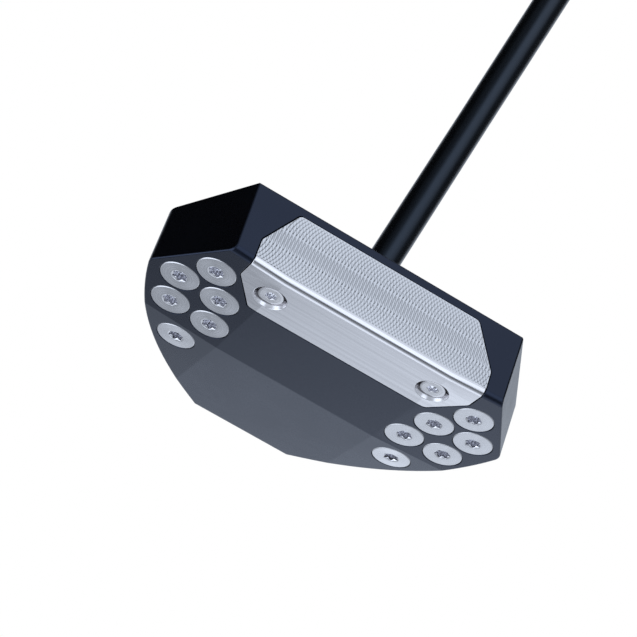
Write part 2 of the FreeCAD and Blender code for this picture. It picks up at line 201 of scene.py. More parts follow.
# ---------------------------------------------------------------- materials
def anodised():
    """Black anodised, bead-blasted aluminium, a little paler where the edges are worn."""
    made, nodes, shader, place = material("anodised_black")
    cloud = nodes.noise(place, scale=38.0, detail=4.0)
    grain = nodes.noise(place, scale=5200.0, detail=2.0, roughness=0.6)
    patches = nodes.span(nodes.noise(place, scale=420.0), 0.35, 0.7, 0.25, 1.0)
    worn = nodes.math("MULTIPLY", edge_mask(nodes, radius=0.35 * MM, start=0.01, full=0.12), patches)
    base = nodes.mix(cloud, ANODISED_DEEP, ANODISED_THIN)
    base = nodes.mix(nodes.math("MULTIPLY", worn, 0.16), base, ANODISED_WORN)
    broad = nodes.span(cloud, 0.3, 0.7, 0.24, 0.31)
    fine = nodes.span(grain, 0.3, 0.7, -0.02, 0.03)
    nodes.fill(shader, {
        "Base Color": base,
        "Roughness": nodes.math("ADD", broad, fine),
        "IOR": 1.49,
        "Specular Tint": ANODISED_GLOSS,
        "Normal": nodes.bump(grain, strength=0.25, distance=0.012 * MM),
    })
    return made


def steel_base(nodes, place, tint):
    cloud = nodes.noise(place, scale=60.0, detail=4.0)
    return nodes.mix(cloud, shade(tint, 0.93), tint), cloud


def brushed_steel():
    """Stainless steel brushed along X."""
    made, nodes, shader, place = material("steel_brushed")
    base, cloud = steel_base(nodes, place, STEEL)
    streak = nodes.noise(nodes.scaled(place, (55.0, 5200.0, 5200.0)), roughness=0.6)
    broad = nodes.noise(nodes.scaled(place, (14.0, 900.0, 900.0)), roughness=0.5)
    worn = edge_mask(nodes, radius=0.2 * MM, start=0.01, full=0.15)
    base = nodes.mix(nodes.span(broad, 0.35, 0.65), base, STEEL_STREAK)
    base = nodes.mix(nodes.math("MULTIPLY", worn, 0.20), base, STEEL_WORN)
    brushed = nodes.span(streak, 0.3, 0.7, 0.15, 0.25)
    handled = nodes.span(cloud, 0.3, 0.7, -0.02, 0.02)
    nodes.fill(shader, {
        "Base Color": base,
        "Metallic": 1.0,
        "Roughness": nodes.math("ADD", brushed, handled),
        "Normal": nodes.bump(streak, strength=0.20, distance=0.010 * MM),
    })
    return made


def milled_steel():
    """The same steel where a face mill crossed it: satin with tiny cutter marks."""
    made, nodes, shader, place = material("steel_milled")
    base, cloud = steel_base(nodes, place, STEEL_MILLED)
    fine = nodes.noise(nodes.scaled(place, (7000.0, 7000.0, 2500.0)), detail=2.0)
    nodes.fill(shader, {
        "Base Color": base,
        "Metallic": 1.0,
        "Roughness": nodes.span(cloud, 0.3, 0.7, 0.07, 0.11),
        "Normal": nodes.bump(fine, strength=0.15, distance=0.008 * MM),
    })
    return made


def turned_steel(name, tint, pitch, socket_radius, socket_height):
    """Steel turned on a lathe: rings about the piece's own axis, and a smoother pressed socket whose
    paler colour is painted light that lifts the recess out of its shade.
    """
    made, nodes, shader, place = material(name)
    x, y, z = nodes.axes(place)
    radius = nodes.number("LENGTH", nodes.joined(x, y))
    rings = nodes.noise(nodes.joined(radius), scale=1.0 / pitch, detail=4.0, roughness=0.7)
    cloud = nodes.noise(place, scale=260.0, detail=4.0)
    # painted sheen: darker sectors at random round the axis stand in for the light and dark sectors of
    # the turned face's highlight
    sweep = nodes.math("ARCTAN2", y, x)
    around = nodes.joined(nodes.math("COSINE", sweep), nodes.math("SINE", sweep))
    painted_sheen_fan = nodes.noise(around, scale=2.2, roughness=0.6)
    base = nodes.mix(nodes.span(rings, 0.35, 0.65), shade(tint, 0.78), shade(tint, 1.06))
    base = nodes.mix(nodes.span(painted_sheen_fan, 0.35, 0.65, 0.0, 0.5), base, shade(tint, 0.80))
    base = nodes.mix(nodes.span(cloud, 0.35, 0.7, 0.0, 0.20), base, shade(tint, 0.80))
    # inside the star socket, where the paler colour is painted light against the recess's shade
    inside = nodes.math("MULTIPLY", nodes.math("GREATER_THAN", z, socket_height),
                        nodes.math("LESS_THAN", radius, socket_radius))
    turned = nodes.span(rings, 0.3, 0.7, 0.20, 0.34)
    smoother = nodes.span(inside, 0.0, 1.0, 1.0, 0.45)
    tangent = nodes.add("ShaderNodeTangent")
    tangent.direction_type = "RADIAL"
    tangent.axis = "Z"
    nodes.fill(shader, {
        "Base Color": nodes.mix(inside, base, SOCKET_PAINTED_LIGHT),
        "Metallic": 1.0,
        "Anisotropic": 0.70,
        "Tangent": tangent.outputs[0],
        "Roughness": nodes.math("MULTIPLY", turned, smoother),
        "Normal": nodes.bump(rings, strength=0.5, distance=0.030 * MM),
    })
    return made


def black_gloss():
    """The shaft's black coat: smooth, with a trace of orange peel and fine dust."""
    made, nodes, shader, place = material("shaft_gloss")
    peel = nodes.noise(nodes.scaled(place, (700.0, 700.0, 240.0)))
    dust = nodes.noise(place, scale=6000.0, detail=1.0)
    nodes.fill(shader, {
        "Base Color": nodes.mix(nodes.span(dust, 0.66, 0.74), COAT_BLACK, COAT_DUST),
        "Roughness": nodes.span(peel, 0.3, 0.7, 0.25, 0.31),
        "IOR": 1.53,
        "Specular Tint": COAT_GLOSS,
        "Normal": nodes.bump(peel, strength=0.12, distance=0.015 * MM),
    })
    return made


def rubber():
    """Matt black grip rubber: soft sheen, fine pores, and paler where hands rub its edges."""
    made, nodes, shader, place = material("grip_rubber")
    pores = nodes.noise(place, scale=2600.0, roughness=0.65)
    cloud = nodes.noise(place, scale=30.0, detail=4.0)
    ridge = edge_mask(nodes, radius=0.4 * MM, start=0.03, full=0.30)
    base = nodes.mix(nodes.span(cloud, 0.3, 0.7), RUBBER_DARK, RUBBER_PALE)
    base = nodes.mix(nodes.math("MULTIPLY", ridge, 0.35), base, RUBBER_RUBBED)
    nodes.fill(shader, {
        "Base Color": base,
        "Roughness": nodes.span(pores, 0.3, 0.7, 0.52, 0.70),
        "Sheen Weight": 0.05,
        "Normal": nodes.bump(pores, strength=0.45, distance=0.05 * MM),
    })
    return made


def painted(name, low, high, roughness, grain_scale, grain_depth):
    """Paint fill, adhesive, tape or moulded plastic: two close colours and a fine grain."""
    made, nodes, shader, place = material(name)
    cloud = nodes.noise(place, scale=180.0, detail=4.0)
    grain = nodes.noise(place, scale=grain_scale)
    nodes.fill(shader, {
        "Base Color": nodes.mix(cloud, low, high),
        "Roughness": nodes.span(grain, 0.3, 0.7, roughness - 0.06, roughness + 0.06),
        "Normal": nodes.bump(grain, strength=0.3, distance=grain_depth * MM),
    })
    return made


# ---------------------------------------------------------------- mesh helpers
WELD = 2e-6                   # metres
SLIVER = 1e-6                 # metres
SAME_FLAT = math.radians(0.4)
BROAD_FLAT = 60e-6            # square metres
FLAT_CREASE = math.radians(1.0)
ROUND_CREASE = math.radians(30.0)
BEVEL_ANGLE = math.radians(28.0)
FACES_DOWN = -0.95            # the most that a lower face's normal has of Z


def mesh_of(name, points, faces, crease):
    """A mesh in metres from millimetre points, facing outward and smooth up to the crease angle."""
    mesh = bpy.data.meshes.new(name)
    mesh.from_pydata([tuple(point) for point in points * MM], [], faces)
    mesh.validate()
    bm = bmesh.new()
    bm.from_mesh(mesh)
    bmesh.ops.recalc_face_normals(bm, faces=bm.faces)
    bm.to_mesh(mesh)
    bm.free()
    mesh.shade_smooth()
    mesh.set_sharp_from_angle(angle=math.radians(crease))
    return mesh


def place_piece(name, mesh, node, finish, matrix=None):
    """An object that rides on the one body and stands for a CAD node."""
    piece = bpy.data.objects.new(name, mesh)
    bpy.context.scene.collection.objects.link(piece)
    if matrix is not None:
        piece.matrix_world = matrix
    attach(piece, "root")
    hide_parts(node)
    mesh.materials.append(finish)
    return piece


def break_edges(piece, width, segments, by_weight=False):
    """Round every sharp edge by a width in millimetres, or each by its bevel weight."""
    bevel = piece.modifiers.new("edge_break", "BEVEL")
    bevel.width = width * MM
    bevel.segments = segments
    bevel.limit_method = "WEIGHT" if by_weight else "ANGLE"
    bevel.angle_limit = BEVEL_ANGLE
    bevel.use_clamp_overlap = not by_weight
    normals = piece.modifiers.new("flat_normals", "WEIGHTED_NORMAL")
    normals.keep_sharp = True
    normals.weight = 60


def cad_mesh(node):
    """A plain welded copy of a CAD node's mesh, with its flats dissolved to single faces."""
    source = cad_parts[node].data
    bm = bmesh.new()
    verts = [bm.verts.new(v.co) for v in source.vertices]
    for polygon in source.polygons:
        bm.faces.new([verts[i] for i in polygon.vertices])
    bmesh.ops.remove_doubles(bm, verts=bm.verts, dist=WELD)
    bmesh.ops.dissolve_degenerate(bm, edges=bm.edges, dist=SLIVER)
    bmesh.ops.dissolve_limit(bm, angle_limit=SAME_FLAT, verts=bm.verts, edges=bm.edges,
                             delimit={"NORMAL"})
    bmesh.ops.recalc_face_normals(bm, faces=bm.faces)
    return bm


def mesh_from(bm, name):
    """The mesh, smooth over its rounds and creased where two broad flats meet at any angle."""
    for face in bm.faces:
        face.smooth = True
    for edge in bm.edges:
        if len(edge.link_faces) == 2:
            flats = min(face.calc_area() for face in edge.link_faces) > BROAD_FLAT
            edge.smooth = edge.calc_face_angle() < (FLAT_CREASE if flats else ROUND_CREASE)
    mesh = bpy.data.meshes.new(name)
    bm.to_mesh(mesh)
    bm.free()
    return mesh


def grid_faces(rows, columns, wrap=False, flip=False):
    """Quads between neighbouring rows of points; wrap closes each row."""
    last = columns if wrap else columns - 1
    i, j = np.meshgrid(np.arange(rows - 1), np.arange(last), indexing="ij")
    k = (j + 1) % columns
    corners = [i * columns + j, i * columns + k, (i + 1) * columns + k, (i + 1) * columns + j]
    quads = np.stack(corners, -1).reshape(-1, 4)
    return (quads[:, ::-1] if flip else quads).tolist()


def closing_faces(rows, around):
    """Quads from the last ring back to the first."""
    last = (rows - 1) * around
    return [[last + j, last + (j + 1) % around, (j + 1) % around, j] for j in range(around)]


def evenly_round(around):
    return np.linspace(0, 2 * np.pi, around, endpoint=False)


def ring_points(rings, angle):
    """The points of rings about Z, each ring given by its radius and its height."""
    parts = []
    for radius, height in rings:
        height = np.broadcast_to(height, angle.shape)
        parts.append(np.stack([radius * np.cos(angle), radius * np.sin(angle), height], -1))
    return np.vstack(parts)


def off_mark(u, pitch):
    """The distance from u to the nearest whole number of pitches."""
    return np.abs((u / pitch + 0.5) % 1.0 - 0.5) * pitch


def bottom_frame(node):
    """The frame of a turned piece in the sole: origin on its lower face, Z up its axis."""
    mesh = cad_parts[node].data
    normal = Vector((0, 0, 0))
    for polygon in mesh.polygons:
        if polygon.normal.z < FACES_DOWN:
            normal += polygon.normal * polygon.area
    up = -normal.normalized()
    side = Vector((1, 0, 0)) - up * up.x
    side.normalize()
    fore = up.cross(side)
    points = np.array([v.co for v in mesh.vertices], float)
    spans = [points @ np.array(axis) for axis in (side, fore)]
    middle = [(span.min() + span.max()) / 2 for span in spans]
    lowest = (points @ np.array(up)).min()
    origin = side * middle[0] + fore * middle[1] + up * lowest
    turn = Matrix((side, fore, up)).transposed().to_4x4()
    return Matrix.Translation(origin) @ turn


# ---------------------------------------------------------------- head
OUTER_BREAK = 0.42            # width of the rounds along the head's outer edges, in millimetres
RIM_SHARE = 0.30              # the share of it at the rims of bores and pockets
OUTERMOST = 0.06              # how far inside the head's furthest point an outer face may lie
SHARP = math.radians(45)


def mark_breaks(bm):
    """Bevel weights: full on the edges between two outermost faces, less on every other sharp edge."""
    points = np.array([v.co for v in bm.verts], float)
    outermost = {}
    for face in bm.faces:
        normal = np.array(face.normal, float)
        inside = (points @ normal).max() - normal @ np.array(face.calc_center_median(), float)
        outermost[face] = inside < OUTERMOST * MM
    weight = bm.edges.layers.float.new("bevel_weight_edge")
    for edge in bm.edges:
        if len(edge.link_faces) == 2 and edge.calc_face_angle() > SHARP:
            outer = all(outermost[face] for face in edge.link_faces)
            edge[weight] = 1.0 if outer else RIM_SHARE


def make_head(coat):
    bm = cad_mesh("head_body")
    mark_breaks(bm)
    mesh = mesh_from(bm, "head_anodised")
    piece = place_piece("head_anodised", mesh, "head_body", coat)
    break_edges(piece, OUTER_BREAK, 3, by_weight=True)


# ---------------------------------------------------------------- face insert
MILL_FEED = 1.0185            # from one cutter mark to the next
MILL_RADIUS = 16.37
MILL_HEIGHT = 11.82           # of the cutter's axis
MILL_STARTS = (0.92, 0.44)    # where the cutter's leading and trailing marks begin
GROOVE_WIDTH = 0.36
GROOVE_DEPTH = 0.064
GROOVE_FADE = 0.2             # how near the plate's edge the marks fade out
PLATE_COLUMNS = 1025
PLATE_ROWS = 128
PLATE_BACK = 0.6              # from the plate's front to its hidden back
PLATE_CREASE = 50             # degrees
FLANGE_SINK = 0.3             # how far the CAD front moves back to make room for the plate
FLANGE_BREAK = 0.10
FRONT_AREA = 1e-5             # square metres; the flat front has more
FRONT_FACING = 0.9999
CORNER_STEPS = 8


def rounded_top():
    """Half widths and heights along the insert's upper outline, with its corners rounded."""
    corners = [(INSERT_HALF_WIDTH, 0.0), (INSERT_HALF_WIDTH, INSERT_SHOULDER),
               (INSERT_TOP_HALF_WIDTH, INSERT_TOP), (0.0, INSERT_TOP)]
    points = []
    for before, corner, after in zip(corners, corners[1:], corners[2:]):
        a, c, b = (np.array(p) for p in (before, corner, after))
        u, v = (a - c) / np.linalg.norm(a - c), (b - c) / np.linalg.norm(b - c)
        half = math.acos(float(u @ v)) / 2
        centre = c + (u + v) / np.linalg.norm(u + v) * INSERT_CORNER_RADIUS / math.sin(half)
        start = c + u * INSERT_CORNER_RADIUS / math.tan(half) - centre
        end = c + v * INSERT_CORNER_RADIUS / math.tan(half) - centre
        sweep = math.atan2(start[0] * end[1] - start[1] * end[0], float(start @ end))
        for step in range(CORNER_STEPS + 1):
            turn = sweep * step / CORNER_STEPS
            cos, sin = math.cos(turn), math.sin(turn)
            points.append(centre + [start[0] * cos - start[1] * sin, start[0] * sin + start[1] * cos])
    return np.array(points)


def mill_mark(u):
    """Depth share of the cutter marks; u is the distance past the first one in millimetres."""
    off = off_mark(u, MILL_FEED)
    return np.where(off < GROOVE_WIDTH / 2, np.cos(np.pi * off / GROOVE_WIDTH) ** 2, 0.0)


def milled_plate():
    """Points and faces of a thin closed plate with the cutter marks cut into its front."""
    top = rounded_top()
    order = np.argsort(top[:, 0])
    setback = LEADING_RADIUS / math.tan((math.pi / 2 - FACE_LOFT) / 2)
    x = np.linspace(-INSERT_HALF_WIDTH, INSERT_HALF_WIDTH, PLATE_COLUMNS)
    facet = np.maximum(0, np.abs(x) - SOLE_FACET_START) * math.tan(SOLE_FACET_TILT)
    low = setback * math.cos(FACE_LOFT) + facet
    high = np.interp(np.abs(x), np.append(0.0, top[order, 0]), np.append(INSERT_TOP, top[order, 1]))
    high[[0, -1]] = top[0, 1]
    z = low + np.linspace(0, 1, PLATE_ROWS)[:, None] * (high - low)
    xs = np.broadcast_to(x, z.shape)

    reach = np.sqrt(MILL_RADIUS ** 2 - (z - MILL_HEIGHT) ** 2)
    leading, trailing = MILL_STARTS
    marks = mill_mark(xs - reach - leading) + mill_mark(xs + reach - trailing)
    edge = np.minimum.reduce([z - low, high - z, INSERT_HALF_WIDTH - np.abs(xs)])
    depth = GROOVE_DEPTH * marks * np.clip(edge / GROOVE_FADE, 0, 1)
    y = FACE_Y + z * math.tan(FACE_LOFT) + depth * math.cos(FACE_LOFT)
    z = z - depth * math.sin(FACE_LOFT)

    skin = np.stack([xs, y, z], -1).reshape(-1, 3)
    index = np.arange(len(skin)).reshape(z.shape)
    loop = np.concatenate([index[0], index[1:, -1], index[-1, -2::-1], index[-2:0:-1, 0]]).tolist()
    base, count = len(skin), len(loop)
    faces = grid_faces(PLATE_ROWS, PLATE_COLUMNS)
    for i in range(count):
        k = (i + 1) % count
        faces.append([loop[i], base + i, base + k, loop[k]])
    faces.append([base + i for i in range(count)])
    return np.vstack([skin, skin[loop] + [0, PLATE_BACK, 0]]), faces


def make_insert(brushed, milled):
    """The CAD piece with its flat front sunk a little, and the milled plate in its place."""
    bm = cad_mesh("face_insert")
    outward = Vector((0, -math.cos(FACE_LOFT), math.sin(FACE_LOFT)))
    front = [face for face in bm.faces
             if face.normal.dot(outward) > FRONT_FACING and face.calc_area() > FRONT_AREA]
    sink = outward * FLANGE_SINK * MM
    sunk = {}
    for face in front:
        for vert in face.verts:
            if vert not in sunk:
                sunk[vert] = bm.verts.new(vert.co - sink)
    for face in front:
        bm.faces.new([sunk[vert] for vert in face.verts])
        for edge in face.edges:
            if any(other not in front for other in edge.link_faces):
                a, b = edge.verts
                bm.faces.new([a, b, sunk[b], sunk[a]])
    bmesh.ops.delete(bm, geom=front, context="FACES_ONLY")
    bmesh.ops.recalc_face_normals(bm, faces=bm.faces)
    flange = mesh_from(bm, "face_insert_flange")
    piece = place_piece("face_insert_flange", flange, "face_insert", brushed)
    break_edges(piece, FLANGE_BREAK, 2)
    plate = mesh_of("face_insert_milled", *milled_plate(), PLATE_CREASE)
    place_piece("face_insert_milled", plate, "face_insert", milled)


# ---------------------------------------------------------------- turned pieces in the sole
# Radius and height down the shank and over the head towards the socket, in millimetres
WEIGHT_PROFILE = [(5.1, 7.8), (5.1, 1.8), (5.75, 1.8), (5.75, 0.32), (5.72, 0.24), (5.52, 0.04),
                  (5.44, 0.0), (4.4, 0.0), (3.4, 0.0)]
SCREW_PROFILE = [(2.0, 8.9), (2.0, 1.9), (3.55, 1.9), (3.55, 0.16), (3.53, 0.09), (3.48, 0.03),
                 (3.40, 0.0), (2.7, 0.0)]
# Diameter of the star socket, width of its rounded mouth, and depth
WEIGHT_SOCKET = (4.4, 0.26, 2.6)
SCREW_SOCKET = (3.3, 0.12, 1.2)
MOUTH_STEEPNESS = 0.85        # depth of the rounded mouth for its width
MOUTH_STEPS = 6
MOUTH_MARGIN = 0.05           # from the mouth to the last ring of the flat head
LOBES = 6
LOBE_SHARE = 0.13             # how far the outline rises and falls, as a share of its radius
STAR_POINTS = 144
WEIGHT_CLOCKING = 17          # degrees from one piece's star to the next
SCREW_CLOCKING = 23
TURNED_CREASE = 24            # degrees


def turned_star(profile, socket, mouth, depth):
    """Rings from the top of the shank, over the head, round the mouth and down the star socket."""
    angle = evenly_round(STAR_POINTS)
    star = socket / 2 * (1.0 - LOBE_SHARE + LOBE_SHARE * np.cos(LOBES * angle))
    rim = socket / 2 + mouth
    lip = MOUTH_STEEPNESS * (rim - star)
    rings = profile + [(rim + MOUTH_MARGIN, 0.0)]
    for turn in np.linspace(0, np.pi / 2, MOUTH_STEPS):
        rings.append((rim + math.sin(turn) * (star - rim), lip * (1 - math.cos(turn))))
    # the wall draws in near its foot, and the socket's floor is a shallow cone
    rings += [(star * 0.975, depth - 0.12), (star * 0.93, depth), (star * 0.3, depth + 0.25)]
    faces = grid_faces(len(rings), STAR_POINTS, wrap=True, flip=True)
    faces.append(list(range(STAR_POINTS))[::-1])
    faces.append([(len(rings) - 1) * STAR_POINTS + j for j in range(STAR_POINTS)])
    return ring_points(rings, angle), faces


def make_turned_piece(node, profile, socket, clocking, steel):
    """A turned piece, tilted into the CAD node's seat and turned by the clocking."""
    points, faces = turned_star(profile, *socket)
    seat = bottom_frame(node)
    clocked = Matrix.Rotation(math.radians(clocking % (360 // LOBES)), 3, "Z")
    turn = np.array(seat.to_3x3() @ clocked)
    mesh = mesh_of(node + "_turned", points @ turn.T, faces, TURNED_CREASE)
    place_piece(node + "_turned", mesh, node, steel, Matrix.Translation(seat.translation))


def make_turned(weight_steel, screw_steel):
    done = 0
    for side in ("toe", "heel"):
        for index in range(1, 7):
            make_turned_piece("weight_{}_{}".format(side, index), WEIGHT_PROFILE, WEIGHT_SOCKET,
                              WEIGHT_CLOCKING * done, weight_steel)
            done += 1
        make_turned_piece("insert_screw_" + side, SCREW_PROFILE, SCREW_SOCKET,
                          SCREW_CLOCKING * done, screw_steel)


# ---------------------------------------------------------------- shaft
SHAFT_START = (SHAFT_TIP_HEIGHT - SHAFT_CROSSING) / math.cos(SHAFT_LEAN)
SHAFT_LENGTH = PUTTER_LENGTH - SHAFT_START - GRIP_CAP
SHAFT_POINTS = 128
SHAFT_CREASE = 35             # degrees
TIP_CHAMFER = (0.15, 0.25)    # depth and length
BUTT_CHAMFER = (0.1, 0.2)
BORE_CHAMFER = 0.1
SHAFT_STEP = 20
TIP_STEP = 5


def shaft_matrix():
    """Z runs up the shaft from its tip."""
    axis = Vector((math.sin(SHAFT_LEAN), 0, math.cos(SHAFT_LEAN)))
    start = axis * SHAFT_START + Vector((0, 0, SHAFT_CROSSING))
    return Matrix.Translation(start * MM) @ Matrix.Rotation(SHAFT_LEAN, 4, "Y")


def shaft_radius(distance):
    taper = (SHAFT_BUTT_RADIUS - SHAFT_TIP_RADIUS) / (SHAFT_LENGTH - SHAFT_PARALLEL)
    beyond = np.maximum(0.0, np.asarray(distance, float) - SHAFT_PARALLEL)
    return SHAFT_TIP_RADIUS + beyond * taper


def make_shaft(coat):
    """A tapered tube, out along its outside and back along its bore."""
    stations = np.concatenate([[0.0, TIP_CHAMFER[1]], np.arange(TIP_STEP, SHAFT_PARALLEL, TIP_STEP),
                               np.arange(SHAFT_PARALLEL, SHAFT_LENGTH, SHAFT_STEP),
                               [SHAFT_LENGTH - BUTT_CHAMFER[1], SHAFT_LENGTH]])
    radius = shaft_radius(stations)
    radius[0] -= TIP_CHAMFER[0]
    radius[-1] -= BUTT_CHAMFER[0]
    inner = radius - SHAFT_WALL
    inner[0] += BORE_CHAMFER
    rings = list(zip(radius, stations)) + list(zip(inner[::-1], stations[::-1]))
    points = ring_points(rings, evenly_round(SHAFT_POINTS))
    faces = grid_faces(len(rings), SHAFT_POINTS, wrap=True) + closing_faces(len(rings), SHAFT_POINTS)
    mesh = mesh_of("shaft_coated", points, faces, SHAFT_CREASE)
    place_piece("shaft_coated", mesh, "shaft", coat, shaft_matrix())


# ---------------------------------------------------------------- grip
GRIP_POINTS = 288
GRIP_ROWS = 760
GRIP_CREASE = 24              # degrees
FRONT_SHARE = 0.45            # of the D's depth, in front of the shaft's axis
FLAT_SHARE = 0.62             # of its width, taken by the flat
SHOULDER_SHARE = 0.72         # of the way to the front, where its corners' arcs are highest
PATTERN_FADE = (12, 15)       # distances from either end between which the patterns begin
BACK_EDGE = (118, 124)        # degrees from the middle of the back where its diamonds end
FLAT_EDGE = (138, 142)        # and where the flat's bars begin
BORDER_AT = 128.0             # and the groove between them
END_RING = 11.0               # from each end to the groove round it
DIAMOND_PITCH = 3.0
DIAMOND_SLOPE = 1.15
MEAN_RADIUS = 11.3
BAR_PITCH = 4.2
DIAMOND_DEPTH = 0.38
BAR_DEPTH = 0.32
BORDER_DEPTH = 0.3
RING_DEPTH = 0.35
# Each groove's floor and its whole width, from its middle; the border's are in degrees
DIAMOND_LINE = (0.12, 0.42)
BAR_LINE = (0.25, 0.6)
BORDER_LINE = (1.2, 3.0)
RING_LINE = (0.3, 0.8)
LOWER_ROUND = (0.9, 1.4)      # depth and height of the rounding at the grip's lower end
BORE_GAPS = (0.3, 0.02)       # round the shaft, at the grip's top and at its lower end


def arc(a, b, c, steps):
    """Points on the arc from a through b to c, without c."""
    a, b, c = (np.array(p, float) for p in (a, b, c))
    double = 2 * (a[0] * (b[1] - c[1]) + b[0] * (c[1] - a[1]) + c[0] * (a[1] - b[1]))
    across = (a @ a) * (b[1] - c[1]) + (b @ b) * (c[1] - a[1]) + (c @ c) * (a[1] - b[1])
    along = (a @ a) * (c[0] - b[0]) + (b @ b) * (a[0] - c[0]) + (c @ c) * (b[0] - a[0])
    centre = np.array([across / double, along / double])
    radius = np.linalg.norm(a - centre)
    start, middle, end = (math.atan2(*(p - centre)[::-1]) for p in (a, b, c))
    sweep = (end - start) % (2 * math.pi)
    if (middle - start) % (2 * math.pi) > sweep:
        sweep -= 2 * math.pi
    t = start + sweep * np.linspace(0, 1, steps, endpoint=False)
    return centre + radius * np.stack([np.cos(t), np.sin(t)], -1)


def d_section(width, depth):
    """The CAD grip's D outline, sampled evenly along it: a flat on -X and a round back on +X."""
    half = width / 2
    front = -depth * FRONT_SHARE
    back = depth + front
    flat = half * FLAT_SHARE
    shoulder = (flat + 1.3 * half) / 2.2
    outline = np.vstack([
        np.linspace((front, -flat), (front, flat), 60, endpoint=False),
        arc((front, flat), (front * SHOULDER_SHARE, shoulder), (0, half), 60),
        arc((0, half), (back, 0), (0, -half), 200),
        arc((0, -half), (front * SHOULDER_SHARE, -shoulder), (front, -flat), 60),
    ])
    steps = np.linalg.norm(np.roll(outline, -1, 0) - outline, axis=1)
    run = np.append(0, np.cumsum(steps))
    closed = np.vstack([outline, outline[:1]])
    where = np.linspace(0, run[-1], GRIP_POINTS, endpoint=False)
    return np.stack([np.interp(where, run, closed[:, k]) for k in range(2)], -1)


def smooth_step(value, low, high):
    t = np.clip((value - low) / (high - low), 0, 1)
    return t * t * (3 - 2 * t)


def line(off, floor, whole):
    """1 within the floor of a line and 0 beyond its whole width; off is from its middle."""
    return 1 - smooth_step(off, floor, whole)


def grip_cuts(points, s):
    """How deep the moulded pattern goes at each point; s is the distance up the grip."""
    angle = np.arctan2(points[..., 1], points[..., 0])    # 0 at the middle of the back
    on_back = 1 - smooth_step(np.abs(angle), *np.radians(BACK_EDGE))
    on_flat = smooth_step(np.abs(angle), *np.radians(FLAT_EDGE))
    begin, full = PATTERN_FADE
    zone = smooth_step(s, begin, full) * (1 - smooth_step(s, GRIP_LENGTH - full, GRIP_LENGTH - begin))
    slant = MEAN_RADIUS * angle * DIAMOND_SLOPE
    diamonds = np.maximum(line(off_mark(s + slant, DIAMOND_PITCH), *DIAMOND_LINE),
                          line(off_mark(s - slant, DIAMOND_PITCH), *DIAMOND_LINE))
    bars = line(off_mark(s, BAR_PITCH), *BAR_LINE)
    border = line(np.abs(np.abs(np.degrees(angle)) - BORDER_AT), *BORDER_LINE)
    from_ring = np.minimum(np.abs(s - END_RING), np.abs(s - GRIP_LENGTH + END_RING))
    cuts = (DIAMOND_DEPTH * diamonds * on_back * zone + BAR_DEPTH * bars * on_flat * zone
            + BORDER_DEPTH * border * zone + RING_DEPTH * line(from_ring, *RING_LINE))
    rounding, height = LOWER_ROUND
    return cuts + rounding * line(s, 0, height) ** 2


def make_grip(skin):
    """The D outline drawn up the grip, the pattern cut into it, and a bore for the shaft."""
    stations = np.linspace(0, GRIP_LENGTH, GRIP_ROWS)
    stops = [share * GRIP_LENGTH for share in GRIP_STOPS]
    widths = np.interp(stations, stops, GRIP_WIDTHS)
    depths = np.interp(stations, stops, GRIP_DEPTHS)
    points = np.array([d_section(width, depth) for width, depth in zip(widths, depths)])
    along = np.roll(points, -1, 1) - np.roll(points, 1, 1)
    normal = np.stack([along[..., 1], -along[..., 0]], -1)
    normal /= np.linalg.norm(normal, axis=-1, keepdims=True)
    normal *= np.sign((normal * points).sum(-1).mean())
    s = stations[:, None]
    points -= normal * grip_cuts(points, s)[..., None]
    height = np.broadcast_to(s[..., None], (GRIP_ROWS, GRIP_POINTS, 1))
    outer = np.concatenate([points, height], -1).reshape(-1, 3)
    lower_end = SHAFT_LENGTH - GRIP_LENGTH
    bore = [(float(shaft_radius(lower_end + distance)) + gap, distance)
            for distance, gap in zip((GRIP_LENGTH, 0.0), BORE_GAPS)]
    angle = np.arctan2(points[-1, :, 1], points[-1, :, 0])
    rows = GRIP_ROWS + len(bore)
    faces = grid_faces(rows, GRIP_POINTS, wrap=True) + closing_faces(rows, GRIP_POINTS)
    mesh = mesh_of("grip_moulded", np.vstack([outer, ring_points(bore, angle)]), faces, GRIP_CREASE)
    matrix = shaft_matrix() @ Matrix.Translation((0, 0, lower_end * MM))
    place_piece("grip_moulded", mesh, "grip", skin, matrix)


CAP_BREAK = 0.7


def make_cap(plastic):
    mesh = mesh_from(cad_mesh("grip_cap"), "grip_cap_moulded")
    piece = place_piece("grip_cap_moulded", mesh, "grip_cap", plastic)
    break_edges(piece, CAP_BREAK, 4)


def dress(node, finish):
    """A better material on a CAD node that stays."""
    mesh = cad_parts[node].data
    mesh.materials.clear()
    mesh.materials.append(finish)


# ---------------------------------------------------------------- stage
# What polished surfaces see, painted over the surround, a later one over an earlier one:
# azimuth, elevation, the angles from there at which it begins and ends to fade, and its level
STUDIO = [
    (-86, 40, 36, 54, 0.006),    # black flag on the toe side
    (98, 34, 18, 32, 0.06),      # black flag on the heel side
    (165, 80, 14, 32, 0.12),     # dark ceiling
    (40, 34, 5, 29, 0.92),       # pale wall behind the heel
    (30, -9, 8, 34, 1.55),       # white card behind the head
    (163, -28, 8, 18, 1.90),     # low end of the front soft box
    (149, -58, 9, 15, 0.20),     # dark room below it
    (35, -60, 12, 24, 1.60),     # low strip light behind the heel
    (-95, -42, 22, 44, 2.60),    # low soft box on the toe side
    (-8, -34, 10, 22, 0.50),     # dull patch behind the toe
    (180, 33, 12, 36, 1.42),     # high end of the front soft box
    (-146, 54, 8, 26, 0.15),     # dark gap beside it
    (163, -7, 10, 25, 1.95),     # bright middle of the front soft box
]
SURROUND_TURN = (-0.62, -0.30)   # the direction's heights between which the surround changes
SURROUND_LEVELS = (0.55, 0.87)   # and its levels below and above them
PLAIN_LEVEL = 0.80               # the even light on the object


def towards(azimuth, elevation):
    """A unit vector; azimuth 0 is +Y and 90 is +X."""
    a, e = math.radians(azimuth), math.radians(elevation)
    return Vector((math.sin(a) * math.cos(e), math.cos(a) * math.cos(e), math.sin(e)))


